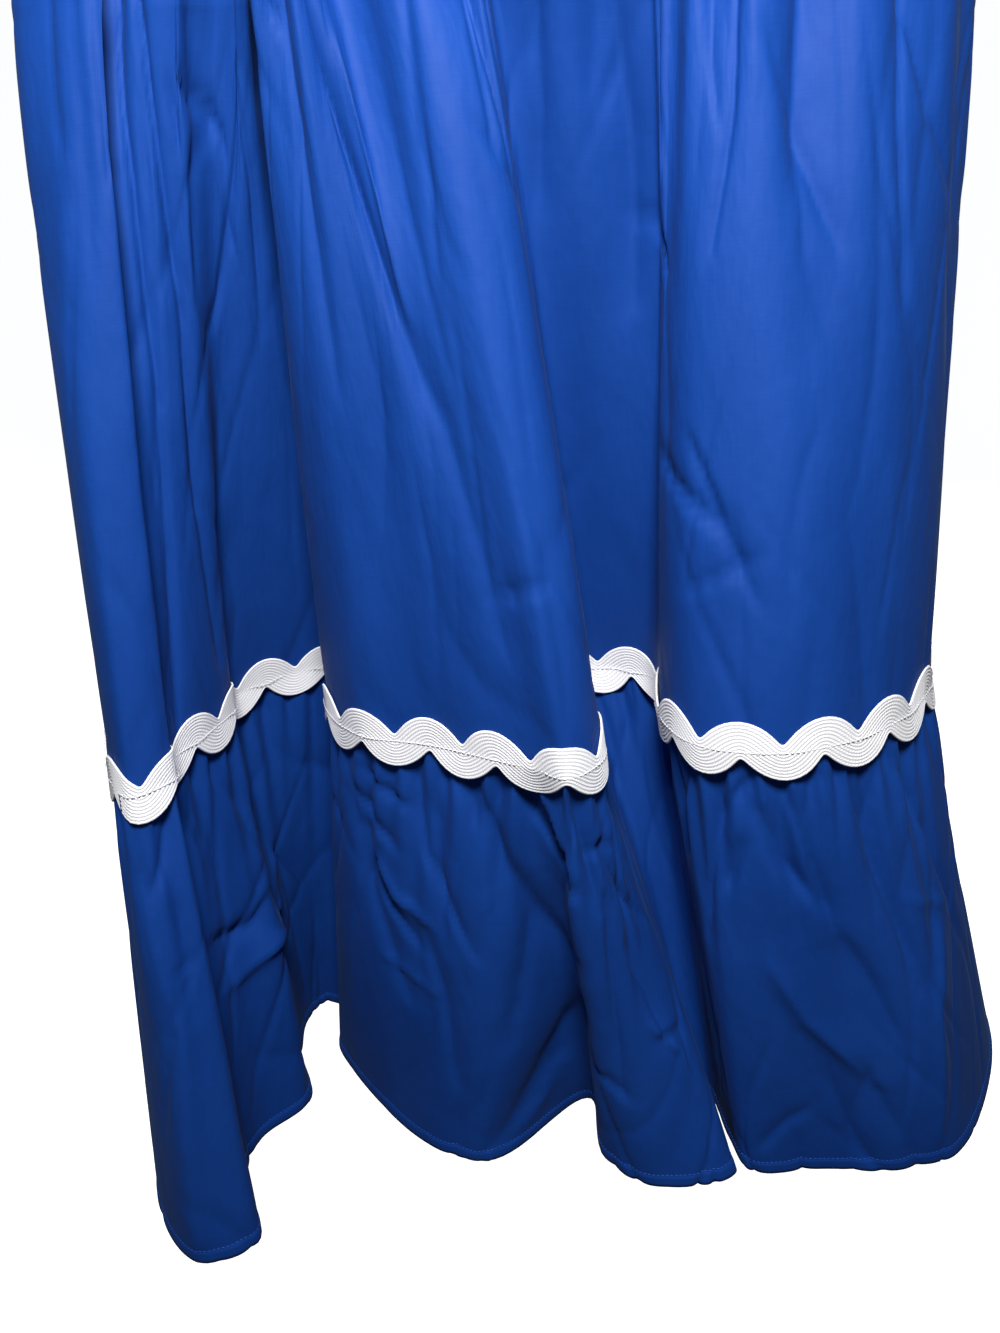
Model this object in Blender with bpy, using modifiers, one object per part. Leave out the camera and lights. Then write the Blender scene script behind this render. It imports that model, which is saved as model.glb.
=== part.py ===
"""A sleeveless tiered midi dress in crisp cotton, hanging from its shoulders.

A plain bodice carries a long upper tier, gathered at the waist seam. A lower tier is gathered to its foot,
and a broad ric-rac braid covers that seam. Metres, +Z up, front towards -Y, origin between the shoulders.
"""
import math

import bpy
import numpy as np

MM = 0.001

# Heights of the seams, measured down from the shoulders.
WAIST_Z = -0.380
HIGH_Z = -0.432
TRIM_Z = -0.823
HEM_Z = -1.180

CLOTH_THICK = 1.2 * MM
SEAM_GAP = 0.3 * MM
SIDE_GAP = 0.8 * MM
WAIST_GAP = 0.6 * MM
WAIST_HALF_WIDTH = 0.215
WAIST_HALF_DEPTH = 0.095

# The ric-rac braid: its wave, and how wide the woven band itself is.
BRAID_SWING = 7 * MM
BRAID_HALF_WIDTH = 12 * MM
BRAID_THICK = 1.5 * MM
BRAID_LIFT = 0.9 * MM
COLUMNS_A_WAVE = 5
FIRST_TROUGH = 3.6

# The plan of each fold, in millimetres, from the left side seam round the front to the right one.
# Each row is a ridge, an edge or a valley: its x and y just below the waist, at the braid and at the hem.
FRONT_FOLDS = (
    # name, high x, high y, braid x, braid y, hem x, hem y
    ("side_left", -230, 0, -274, 0, -320, -30),
    ("left_turn", -226, -46, -268, -70, -308, -104),
    ("left_front", -200, -86, -243, -114, -266, -154),
    ("left_edge", -168, -93, -221, -98, -225, -142),
    ("left_tuck", -173, -79, -230, -78, -246, -90),
    ("left_flank", -152, -88, -212, -40, -240, -54),
    ("left_step", -134, -93, -203, -10, -205, -22),
    ("left_step_tuck", -122, -75, -209, 6, -216, 20),
    ("recess_1_wall", -112, -83, -178, 36, -222, 66),
    ("recess_1_deep", -103, -70, -140, 46, -206, 90),
    ("recess_1_turn", -97, -66, -118, 30, -184, 76),
    ("middle_edge", -106, -90, -139, -10, -188, 36),
    ("middle_slope", -92, -95, -112, -62, -163, -8),
    ("middle_soft", -78, -99, -65, -84, -110, -70),
    ("middle_dip", -69, -86, -28, -108, -56, -92),
    ("middle_valley", -50, -96, -4, -124, 20, -44),
    ("middle_front", -30, -101, 14, -137, 25, -98),
    ("middle_corner", -5, -97, 36, -112, 60, -126),
    ("middle_back", -1, -81, 31, -50, 119, -121),
    ("recess_2_turn", 6, -76, 36, 4, 110, -84),
    ("recess_2_wall", 36, -87, 62, 0, 104, -52),
    ("recess_2_edge", 77, -87, 84, -22, 118, -52),
    ("right_flank", 83, -76, 77, -68, 122, -92),
    ("right_corner", 98, -87, 90, -110, 132, -122),
    ("right_front", 116, -96, 130, -129, 190, -124),
    ("right_soft", 152, -94, 172, -124, 238, -129),
    ("right_slope", 192, -83, 214, -102, 280, -121),
    ("right_turn", 238, -50, 252, -56, 326, -72),
)

# The same from the right side seam round the back to the left one.
BACK_FOLDS = (
    ("side_right", 256, 0, 263, 2, 361, 0),
    ("back_right_turn", 232, 48, 258, 68, 358, 74),
    ("back_right_front", 196, 84, 232, 122, 318, 142),
    ("back_right_edge", 172, 90, 206, 126, 268, 152),
    ("back_dip_1", 166, 78, 196, 80, 246, 98),
    ("back_dip_1_turn", 154, 70, 176, 38, 214, 56),
    ("back_dip_1_wall", 142, 78, 152, 72, 186, 90),
    ("back_centre_edge", 134, 91, 138, 120, 166, 146),
    ("back_centre_front", 96, 98, 98, 142, 116, 168),
    ("back_centre_soft", 58, 96, 58, 128, 68, 146),
    ("back_dip_2", 48, 80, 48, 78, 50, 92),
    ("back_dip_2_turn", 32, 73, 22, 40, 16, 50),
    ("back_dip_2_wall", 14, 80, -4, 76, -16, 94),
    ("back_left_edge", -6, 93, -22, 122, -40, 148),
    ("back_left_front", -62, 98, -84, 142, -112, 168),
    ("back_left_soft", -108, 92, -136, 128, -178, 158),
    ("back_left_dip", -122, 78, -150, 92, -208, 128),
    ("back_left_wall", -140, 78, -176, 92, -236, 126),
    ("back_left_corner", -178, 86, -214, 122, -278, 148),
    ("back_left_turn", -228, 42, -272, 66, -326, 56),
)
FOLDS = FRONT_FOLDS + BACK_FOLDS
FRONT, BACK = "front", "back"

# The braid's waves on each panel, about 48 mm apart, and the columns of points that follow them.
BRAID_WAVES = {FRONT: 25, BACK: 21}
PANEL_COLUMNS = {side: waves * COLUMNS_A_WAVE for side, waves in BRAID_WAVES.items()}

# Gathers of one panel: 20 at the waist, and one at every other column under the braid, so about 160 in all.
WAIST_GATHERS = 20
WAIST_GATHER_DEPTH = 9 * MM
BRAID_GATHER_DEPTH = 5 * MM

# How far down each row of points lies, below the top seam of its tier.
UPPER_ROWS = (0, 0.020, 0.052, 0.220, 0.421, 0.443)
LOWER_ROWS = (0, 0.022, 0.070, 0.160, 0.260, 0.357)
RING_STEPS = 12


def smoothstep(t):
    t = np.clip(t, 0, 1)
    return t * t * (3 - 2 * t)


def uneven(k, low, high):
    """A value for the k-th of many like folds, spread unevenly between low and high."""
    return low + (high - low) * ((k * 0.618034 + 0.25) % 1.0)


def waist_points():
    """Where each fold meets the waist seam: the ellipse point above it, spread a little more evenly."""
    high = np.array([row[1:3] for row in FOLDS], float) * MM
    angle = np.arctan2(high[:, 1] / WAIST_HALF_DEPTH, high[:, 0] / WAIST_HALF_WIDTH) + 2 * math.pi
    angle[0] = math.pi
    even = math.pi + 2 * math.pi * np.arange(len(FOLDS)) / len(FOLDS)
    even[len(FRONT_FOLDS)] = 2 * math.pi
    angle = 0.8 * np.sort(angle) + 0.2 * even
    return np.stack([WAIST_HALF_WIDTH * np.cos(angle), WAIST_HALF_DEPTH * np.sin(angle)], axis=1)


def fold_points(z):
    """The plan of every fold at height z, one row each."""
    table = np.array([row[1:] for row in FOLDS], float) * MM
    high, braid, hem = table[:, 0:2], table[:, 2:4], table[:, 4:6]
    if z >= HIGH_Z:
        share = math.sin(math.pi / 2 * (WAIST_Z - z) / (WAIST_Z - HIGH_Z))
        return waist_points() * (1 - share) + high * share
    if z >= TRIM_Z:
        share = ((HIGH_Z - z) / (HIGH_Z - TRIM_Z)) ** 0.85
        return high * (1 - share) + braid * share
    share = (TRIM_Z - z) / (TRIM_Z - HEM_Z)
    return braid * (1 - share) + hem * share


def smooth_ring(points):
    """A closed smooth line through the fold points, in short steps."""
    ahead, behind = np.roll(points, -1, axis=0), np.roll(points, 1, axis=0)
    chord = np.linalg.norm(ahead - points, axis=1)[:, None]
    slope = (ahead - behind) / (chord + np.roll(chord, 1, axis=0))
    leave, arrive = slope * chord, np.roll(slope, -1, axis=0) * chord
    t = np.linspace(0, 1, RING_STEPS, endpoint=False)[None, :, None]
    line = (2 * t**3 - 3 * t**2 + 1) * points[:, None] + (t**3 - 2 * t**2 + t) * leave[:, None]
    line = line + (3 * t**2 - 2 * t**3) * ahead[:, None] + (t**3 - t**2) * arrive[:, None]
    return line.reshape(-1, 2)


def panel_ring(z, side):
    """The half of the ring at height z that belongs to one panel, from seam to seam."""
    ring = smooth_ring(fold_points(z))
    ring = np.vstack([ring, ring[:1]])
    turn = len(FRONT_FOLDS) * RING_STEPS
    return ring[: turn + 1] if side == FRONT else ring[turn:]


def column_places(side):
    """How far along the panel's ring each column runs: evenly spaced where the braid is."""
    ring = panel_ring(TRIM_Z, side)
    along = np.concatenate([[0], np.cumsum(np.linalg.norm(np.diff(ring, axis=0), axis=1))])
    at = np.linspace(SIDE_GAP / 2, along[-1] - SIDE_GAP / 2, PANEL_COLUMNS[side] + 1)
    return np.interp(at, along, np.arange(len(ring)))


def panel_line(z, side):
    """The panel's columns at height z, each at its own place on the folds, and the outward directions."""
    ring = panel_ring(z, side)
    places = column_places(side)
    line = np.stack([np.interp(places, np.arange(len(ring)), ring[:, k]) for k in range(2)], axis=1)
    run = np.gradient(line, axis=0)
    run /= np.linalg.norm(run, axis=1)[:, None]
    return line, np.stack([run[:, 1], -run[:, 0]], axis=1)


def waist_gather(column, columns, down):
    """How far the upper tier's cloth is drawn in at this column and this far below the waist seam."""
    period = columns / WAIST_GATHERS
    k = int((column + period / 2) // period)
    if k in (0, WAIST_GATHERS):
        return 0.0
    phase = column / period * 2 * math.pi
    reach = uneven(k, 0.12, 0.40)
    fade = 1 - smoothstep(down / reach)
    pinch = 0.55 + 0.45 * smoothstep(down / 0.05)
    return WAIST_GATHER_DEPTH * uneven(k + 3, 0.5, 1.0) * pinch * fade * (0.5 + 0.5 * math.cos(phase))


def braid_gather(column, columns, down):
    """The same below the braid: each gather is one valley between two columns, with none at a side seam."""
    if column % 2 == 0 or column in (1, columns - 1, columns):
        return 0.0
    k = column // 2
    fade = 1 - smoothstep(down / uneven(k, 0.07, 0.26))
    return BRAID_GATHER_DEPTH * uneven(k + 5, 0.6, 1.0) * fade


def tier_points(side, top_z, rows, gather):
    """A tier's outer face: an array of rows by columns of points, top row first."""
    sheet = []
    for down in rows:
        line, out = panel_line(top_z - down, side)
        drawn = np.array([gather(c, len(line) - 1, down) for c in range(len(line))])
        line = line - out * drawn[:, None]
        sheet.append(np.column_stack([line, np.full(len(line), top_z - down)]))
    return np.array(sheet)


def cloth_material(name, colour, roughness):
    material = bpy.data.materials.new(name)
    material.use_nodes = True
    shader = material.node_tree.nodes["Principled BSDF"]
    shader.inputs["Base Color"].default_value = (*colour, 1)
    shader.inputs["Roughness"].default_value = roughness
    shader.inputs["Metallic"].default_value = 0
    return material


def cloth_wall(name, sheet, thick, offset, material, collection):
    """A wall of cloth: a flat grid bent onto the sheet's points, and given its thickness."""
    rows, columns = sheet.shape[0] - 1, sheet.shape[1] - 1
    bpy.ops.mesh.primitive_grid_add(x_subdivisions=columns, y_subdivisions=rows, size=1)
    wall = bpy.context.object
    wall.name = wall.data.name = name
    for vertex in wall.data.vertices:
        column = round((vertex.co.x + 0.5) * columns)
        row = round((0.5 - vertex.co.y) * rows)
        vertex.co = sheet[row, column]
    wall.data.materials.append(material)
    solidify = wall.modifiers.new("cloth thickness", "SOLIDIFY")
    solidify.thickness = thick
    solidify.offset = offset
    for owner in list(wall.users_collection):
        owner.objects.unlink(wall)
    collection.objects.link(wall)
    return wall


def build_tiers(cotton, collection):
    """The upper and lower tiers, each a front and a back panel joined at the side seams."""
    sheets = {}
    upper_rows = (WAIST_GAP,) + UPPER_ROWS[1:-1] + (UPPER_ROWS[-1] - SEAM_GAP / 2,)
    lower_rows = (SEAM_GAP / 2,) + LOWER_ROWS[1:]
    for side in (FRONT, BACK):
        sheets["upper", side] = tier_points(side, WAIST_Z, upper_rows, waist_gather)
        sheets["lower", side] = tier_points(side, TRIM_Z, lower_rows, braid_gather)
        for tier in ("upper", "lower"):
            name = f"{tier}_tier_{side}"
            cloth_wall(name, sheets[tier, side], CLOTH_THICK, -1, cotton, collection)
    return sheets


def build_braid(side, sheets, white, collection):
    """The ric-rac of one panel, laid on the two tiers' own points and moved out past the gathers."""
    above = sheets["upper", side][-2]
    seam, out = panel_line(TRIM_Z, side)
    below, _ = panel_line(TRIM_Z - LOWER_ROWS[1], side)
    seam = np.column_stack([seam, np.full(len(seam), TRIM_Z)])
    below = np.column_stack([below, np.full(len(below), TRIM_Z - LOWER_ROWS[1])])
    rows = [[], [], []]
    for column in range(PANEL_COLUMNS[side] + 1):
        wave = -BRAID_SWING * math.cos(2 * math.pi * (column - FIRST_TROUGH) / COLUMNS_A_WAVE)
        up, down = wave + BRAID_HALF_WIDTH, BRAID_HALF_WIDTH - wave
        lift = np.array([*out[column], 0]) * BRAID_LIFT
        rows[0].append(seam[column] + (above[column] - seam[column]) * up / LOWER_ROWS[1] + lift)
        rows[1].append(seam[column] + lift)
        rows[2].append(seam[column] + (below[column] - seam[column]) * down / LOWER_ROWS[1] + lift)
    cloth_wall(f"ricrac_{side}", np.array(rows), BRAID_THICK, 1, white, collection)


# The bodice: half widths in x and heights in z of its outline, and how full it is.
NECK_HALF_WIDTH = 0.078
NECK_POINT_Z = -0.004
NECK_DEPTH = {FRONT: 0.100, BACK: 0.035}
SHOULDER_HALF_WIDTH = 0.150
SHOULDER_TIP_Z = -0.032
UNDERARM_HALF_WIDTH = 0.228
UNDERARM_Z = -0.205
CHEST_HALF_DEPTH = {FRONT: 0.116, BACK: 0.104}
CHEST_Z = -0.250
SHOULDER_ARCH = 0.100
BODICE_SEAM_Y = 0.75 * MM
NECK_SHARE = 0.32
SHOULDER_SHARE = 0.60
BODICE_COLUMNS = 24
BODICE_ROWS = 8


def bodice_top(q, side):
    """The bodice's upper outline, from the neckline's middle (q = 0) over the shoulder to the underarm (1)."""
    if q <= NECK_SHARE:
        turn = math.pi / 2 * q / NECK_SHARE
        return NECK_HALF_WIDTH * math.sin(turn), NECK_POINT_Z - NECK_DEPTH[side] * math.cos(turn)
    if q <= SHOULDER_SHARE:
        t = (q - NECK_SHARE) / (SHOULDER_SHARE - NECK_SHARE)
        x = NECK_HALF_WIDTH + (SHOULDER_HALF_WIDTH - NECK_HALF_WIDTH) * t
        return x, NECK_POINT_Z + (SHOULDER_TIP_Z - NECK_POINT_Z) * t
    turn = math.pi / 2 * (q - SHOULDER_SHARE) / (1 - SHOULDER_SHARE)
    x = SHOULDER_HALF_WIDTH + (UNDERARM_HALF_WIDTH - SHOULDER_HALF_WIDTH) * smoothstep(2 * turn / math.pi)
    return x, SHOULDER_TIP_Z + (UNDERARM_Z - SHOULDER_TIP_Z) * math.sin(turn)


def bodice_depth(x, z, side):
    """How far the bodice stands off the plane of its side and shoulder seams."""
    rise = smoothstep((z - WAIST_Z) / (CHEST_Z - WAIST_Z))
    fullness = WAIST_HALF_DEPTH + (CHEST_HALF_DEPTH[side] - WAIST_HALF_DEPTH) * rise
    widen = np.clip((z - WAIST_Z) / (UNDERARM_Z - WAIST_Z), 0, 1)
    half_width = WAIST_HALF_WIDTH + (UNDERARM_HALF_WIDTH - WAIST_HALF_WIDTH) * widen
    slope = (SHOULDER_TIP_Z - NECK_POINT_Z) / (SHOULDER_HALF_WIDTH - NECK_HALF_WIDTH)
    shoulder_z = NECK_POINT_Z + slope * max(0, abs(x) - NECK_HALF_WIDTH)
    below = min(max(shoulder_z - z, 0) / SHOULDER_ARCH, 1)
    arch = math.sqrt(1 - (1 - below) ** 2)
    return BODICE_SEAM_Y + fullness * arch * math.sqrt(max(0, 1 - (x / half_width) ** 2))


def build_bodice(side, cotton, collection):
    """One half of the bodice, as a grid from the waist seam up to its upper outline."""
    facing = -1 if side == FRONT else 1
    sheet = []
    for row in range(BODICE_ROWS + 1):
        up = 1 - (row / BODICE_ROWS) ** 2
        line = []
        for column in range(BODICE_COLUMNS + 1):
            across = 2 * column / BODICE_COLUMNS - 1
            foot_x = WAIST_HALF_WIDTH * math.sin(across * math.pi / 2)
            top_x, top_z = bodice_top(abs(across), side)
            top_x = math.copysign(top_x, across)
            x = foot_x + (top_x - foot_x) * up
            z = WAIST_Z + (top_z - WAIST_Z) * up
            line.append((-facing * x, facing * bodice_depth(x, z, side), z))
        sheet.append(line)
    cloth_wall(f"bodice_{side}", np.array(sheet), CLOTH_THICK, -1, cotton, collection)


def main():
    for obj in list(bpy.data.objects):
        bpy.data.objects.remove(obj)
    dress = bpy.data.collections.new("tiered midi dress")
    bpy.context.scene.collection.children.link(dress)
    cotton = cloth_material("royal blue cotton", (0.012, 0.075, 0.42), 0.55)
    white = cloth_material("white ric-rac braid", (0.80, 0.79, 0.81), 0.75)
    sheets = build_tiers(cotton, dress)
    for side in (FRONT, BACK):
        build_bodice(side, cotton, dress)
        build_braid(side, sheets, white, dress)


main()
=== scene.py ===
import math

import bmesh
import bpy
import numpy as np
from mathutils import Matrix, Vector


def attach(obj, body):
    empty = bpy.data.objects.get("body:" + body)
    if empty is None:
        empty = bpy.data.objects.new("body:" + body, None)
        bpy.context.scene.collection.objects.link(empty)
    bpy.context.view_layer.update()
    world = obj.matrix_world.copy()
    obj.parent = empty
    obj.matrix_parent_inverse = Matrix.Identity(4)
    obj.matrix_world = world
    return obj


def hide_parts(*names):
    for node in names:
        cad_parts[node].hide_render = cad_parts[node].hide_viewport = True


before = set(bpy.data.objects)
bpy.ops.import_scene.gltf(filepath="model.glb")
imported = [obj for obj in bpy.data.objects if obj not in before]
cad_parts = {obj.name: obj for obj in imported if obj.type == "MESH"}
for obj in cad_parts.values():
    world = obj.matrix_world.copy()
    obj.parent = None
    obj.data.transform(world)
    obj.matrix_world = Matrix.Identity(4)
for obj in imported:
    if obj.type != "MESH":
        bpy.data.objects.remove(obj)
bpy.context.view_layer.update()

# The upper tier: a front and a back panel of crisp plain-woven cotton, gathered into the waist seam and
# sewn to each other down the sides. From the waist it falls in three deep lobes with two recesses
# between them at the front, and its foot is the seam that the braid covers.
WAIST_Z, HIGH_Z, SEAM_Z, HEM_Z = -0.380, -0.432, -0.823, -1.180
WAIST_HALF_WIDTH, WAIST_HALF_DEPTH = 0.215, 0.095
RING_STEPS = 12
CLOTH_THICK = 0.0006
FRONT_FOLDS = (
    # name, high x, high y, braid x, braid y, hem x, hem y, all in millimetres
    ("side_left", -230, 0, -274, 0, -320, -30),
    ("left_turn", -226, -46, -268, -70, -308, -104),
    ("left_front", -200, -86, -243, -114, -266, -154),
    ("left_edge", -168, -93, -221, -98, -225, -142),
    ("left_tuck", -173, -79, -230, -78, -246, -90),
    ("left_flank", -152, -88, -212, -40, -240, -54),
    ("left_step", -134, -93, -203, -10, -205, -22),
    ("left_step_tuck", -122, -75, -209, 6, -216, 20),
    ("recess_1_wall", -112, -83, -178, 36, -222, 66),
    ("recess_1_deep", -103, -70, -140, 46, -206, 90),
    ("recess_1_turn", -97, -66, -118, 30, -184, 76),
    ("middle_edge", -106, -90, -139, -10, -188, 36),
    ("middle_slope", -92, -95, -112, -62, -163, -8),
    ("middle_soft", -78, -99, -65, -84, -110, -70),
    ("middle_dip", -69, -86, -28, -108, -56, -92),
    ("middle_valley", -50, -96, -4, -124, 20, -44),
    ("middle_front", -30, -101, 14, -137, 25, -98),
    ("middle_corner", -5, -97, 36, -112, 60, -126),
    ("middle_back", -1, -81, 31, -50, 119, -121),
    ("recess_2_turn", 6, -76, 36, 4, 110, -84),
    ("recess_2_wall", 36, -87, 62, 0, 104, -52),
    ("recess_2_edge", 77, -87, 84, -22, 118, -52),
    ("right_flank", 83, -76, 77, -68, 122, -92),
    ("right_corner", 98, -87, 90, -110, 132, -122),
    ("right_front", 116, -96, 130, -129, 190, -124),
    ("right_soft", 152, -94, 172, -124, 238, -129),
    ("right_slope", 192, -83, 214, -102, 280, -121),
    ("right_turn", 238, -50, 252, -56, 326, -72),
)
BACK_FOLDS = (
    ("side_right", 256, 0, 263, 2, 361, 0),
    ("back_right_turn", 232, 48, 258, 68, 358, 74),
    ("back_right_front", 196, 84, 232, 122, 318, 142),
    ("back_right_edge", 172, 90, 206, 126, 268, 152),
    ("back_dip_1", 166, 78, 196, 80, 246, 98),
    ("back_dip_1_turn", 154, 70, 176, 38, 214, 56),
    ("back_dip_1_wall", 142, 78, 152, 72, 186, 90),
    ("back_centre_edge", 134, 91, 138, 120, 166, 146),
    ("back_centre_front", 96, 98, 98, 142, 116, 168),
    ("back_centre_soft", 58, 96, 58, 128, 68, 146),
    ("back_dip_2", 48, 80, 48, 78, 50, 92),
    ("back_dip_2_turn", 32, 73, 22, 40, 16, 50),
    ("back_dip_2_wall", 14, 80, -4, 76, -16, 94),
    ("back_left_edge", -6, 93, -22, 122, -40, 148),
    ("back_left_front", -62, 98, -84, 142, -112, 168),
    ("back_left_soft", -108, 92, -136, 128, -178, 158),
    ("back_left_dip", -122, 78, -150, 92, -208, 128),
    ("back_left_wall", -140, 78, -176, 92, -236, 126),
    ("back_left_corner", -178, 86, -214, 122, -278, 148),
    ("back_left_turn", -228, 42, -272, 66, -326, 56),
)
FOLDS = np.array([row[1:] for row in FRONT_FOLDS + BACK_FOLDS], float) / 1000
SIDE_SEAM = len(FRONT_FOLDS)
BRAID_WAVES = {"front": 25, "back": 21}
COLUMNS_A_WAVE = 5
GATHER_COLUMNS = {side: COLUMNS_A_WAVE * waves for side, waves in BRAID_WAVES.items()}
WAIST_GATHERS, WAIST_GATHER_DEPTH, FINE_GATHER_DEPTH = 20, 0.009, 0.0028
PANEL_COLUMNS = {"front": 541, "back": 461}


def smoothstep(t):
    t = np.clip(t, 0, 1)
    return t * t * (3 - 2 * t)


def uneven(k, low, high):
    """A value for the k-th of many like folds, spread unevenly between low and high."""
    return low + (high - low) * ((k * 0.618034 + 0.25) % 1.0)


def waist_points():
    """Where each fold meets the waist seam, on an ellipse."""
    angle = np.arctan2(FOLDS[:, 1] / WAIST_HALF_DEPTH, FOLDS[:, 0] / WAIST_HALF_WIDTH) + 2 * math.pi
    angle[0] = math.pi
    even = math.pi + 2 * math.pi * np.arange(len(FOLDS)) / len(FOLDS)
    even[SIDE_SEAM] = 2 * math.pi
    angle = 0.8 * np.sort(angle) + 0.2 * even
    return np.stack([WAIST_HALF_WIDTH * np.cos(angle), WAIST_HALF_DEPTH * np.sin(angle)], axis=1)


def fold_points(z):
    """The plan of every fold at height z."""
    high, braid, hem = FOLDS[:, 0:2], FOLDS[:, 2:4], FOLDS[:, 4:6]
    if z >= HIGH_Z:
        share = math.sin(math.pi / 2 * (WAIST_Z - z) / (WAIST_Z - HIGH_Z))
        return waist_points() * (1 - share) + high * share
    if z >= SEAM_Z:
        share = ((HIGH_Z - z) / (HIGH_Z - SEAM_Z)) ** 0.85
        return high * (1 - share) + braid * share
    share = (SEAM_Z - z) / (SEAM_Z - HEM_Z)
    return braid * (1 - share) + hem * share


def panel_ring(z, side):
    """A smooth line through one panel's folds at height z, from seam to seam."""
    points = fold_points(z)
    ahead, behind = np.roll(points, -1, axis=0), np.roll(points, 1, axis=0)
    chord = np.linalg.norm(ahead - points, axis=1)[:, None]
    slope = (ahead - behind) / (chord + np.roll(chord, 1, axis=0))
    leave, arrive = slope * chord, np.roll(slope, -1, axis=0) * chord
    t = np.linspace(0, 1, RING_STEPS, endpoint=False)[None, :, None]
    line = (2 * t**3 - 3 * t**2 + 1) * points[:, None] + (t**3 - 2 * t**2 + t) * leave[:, None]
    line = line + (3 * t**2 - 2 * t**3) * ahead[:, None] + (t**3 - t**2) * arrive[:, None]
    ring = line.reshape(-1, 2)
    ring = np.vstack([ring, ring[:1]])
    return ring[: SIDE_SEAM * RING_STEPS + 1] if side == "front" else ring[SIDE_SEAM * RING_STEPS :]


def seam_length(side):
    """How long the panel's edge is where the braid covers it."""
    return float(np.linalg.norm(np.diff(panel_ring(SEAM_Z, side), axis=0), axis=1).sum())


def panel_line(z, side, along):
    """The panel's points at height z, for cloth that lies this far along the braid's seam, and the
    outward direction at each."""
    seam = panel_ring(SEAM_Z, side)
    reach = np.concatenate([[0], np.cumsum(np.linalg.norm(np.diff(seam, axis=0), axis=1))])
    places = np.interp(along, reach, np.arange(len(seam)))
    ring = panel_ring(z, side)
    line = np.stack([np.interp(places, np.arange(len(ring)), ring[:, k]) for k in range(2)], axis=1)
    ahead = np.stack([np.interp(places + 3, np.arange(len(ring)), ring[:, k]) for k in range(2)], axis=1)
    behind = np.stack([np.interp(places - 3, np.arange(len(ring)), ring[:, k]) for k in range(2)], axis=1)
    run = ahead - behind
    run /= np.linalg.norm(run, axis=1)[:, None]
    return line, np.stack([run[:, 1], -run[:, 0]], axis=1)


# A crease's reach on its steep and its soft side, in half widths, its depth against the table's, and how
# sharply its bottom is bent, where 2 would be round.
STEEP_SIDE, SOFT_SIDE, CREASE_SHARE, CREASE_SHARPNESS = 0.7, 1.7, 1.5, 1.25


def creased(along, down, creases):
    """How far the creases push the cloth in at each place: a trough, or a ridge where the depth is below
    nothing. Each is steep on one side and soft on the other, and dies out at both ends."""
    push = np.zeros(np.broadcast(along, down).shape)
    for number, (_, s0, d0, s1, d1, s2, d2, half_width, depth) in enumerate(creases):
        best = np.full(push.shape, 1e9)
        where, beside = np.zeros(push.shape), np.ones(push.shape)
        for (a, b), start in ((((s0, d0), (s1, d1)), 0.0), (((s1, d1), (s2, d2)), 0.5)):
            run = np.subtract(b, a) / 1000
            right, below = along - a[0] / 1000, down - a[1] / 1000
            t = np.clip((right * run[0] + below * run[1]) / max(run @ run, 1e-9), 0, 1)
            away = np.hypot(right - t * run[0], below - t * run[1])
            nearer = away < best
            where = np.where(nearer, start + t / 2, where)
            beside = np.where(nearer, np.sign(right * run[1] - below * run[0]), beside)
            best = np.minimum(best, away)
        swell = np.sqrt(np.clip(4 * (where + 0.04) * (1.04 - where), 0, 1))
        soft_side = 1 if number % 3 else -1
        reach = half_width / 1000 * np.where(beside == soft_side, SOFT_SIDE, STEEP_SIDE)
        push += CREASE_SHARE * depth / 1000 * swell * np.exp(-((best / reach) ** CREASE_SHARPNESS))
    return push


def rumpled(along, down, strength):
    """The slight unevenness of pressed cotton that has been worn: long shallow swells."""
    swell = np.zeros(np.broadcast(along, down).shape)
    for k in range(9):
        across, drop = uneven(k, 18, 95), uneven(k + 4, -16, 22)
        swell += np.sin(along * across + down * drop + 2.4 * k) / (1 + 0.25 * k)
    return strength * swell


def crumpled(along, down, side, strength):
    """The small sharp creases that crisp cotton keeps, most of them steep, in patches between smooth
    stretches. They die out towards the side seams and the top seam."""
    push = np.zeros(np.broadcast(along, down).shape)
    for k in range(8):
        lean = uneven(k, -0.42, 0.42)
        across = along * math.cos(lean) + down * math.sin(lean)
        falling = down * math.cos(lean) - along * math.sin(lean)
        spacing = uneven(k + 2, 0.052, 0.118)
        warp = 0.9 * np.sin(falling * uneven(k + 1, 6, 19) + 2 * k)
        warp = warp + 0.7 * np.sin(across * uneven(k + 3, 20, 45) + k)
        line = 1 - np.abs(np.sin(math.pi * across / spacing + warp))
        patch = np.sin(falling * uneven(k + 5, 9, 21) + 1.7 * k) * np.cos(across * uneven(k + 6, 6, 15) + k)
        push += line**6 * np.clip(1.1 * patch - 0.05, 0, 1)
    return strength * push * smoothstep(down / 0.03)


def held_at_sides(along, side):
    """The side seams hold the cloth still, so that front and back stay joined there."""
    last = np.minimum(along, seam_length(side) - along)
    return smoothstep(last / 0.022)


def waist_gathered(along, down, side):
    """How far the gathers at the waist draw the cloth in."""
    period = seam_length(side) / WAIST_GATHERS
    k = np.floor(along / period + 0.5)
    ends = (k > 0) & (k < WAIST_GATHERS)
    fade = 1 - smoothstep(down / uneven(k, 0.12, 0.40))
    pinch = 0.55 + 0.45 * smoothstep(down / 0.05)
    wave = 0.5 + 0.5 * np.cos(2 * math.pi * along / period)
    fine = 0.5 + 0.5 * np.cos(2 * math.pi * along / period * 3 + 1.3 * k)
    fine = FINE_GATHER_DEPTH * fine * (1 - smoothstep(down / 0.06))
    return ends * (WAIST_GATHER_DEPTH * uneven(k + 3, 0.5, 1.0) * pinch * fade * wave) + fine


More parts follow.
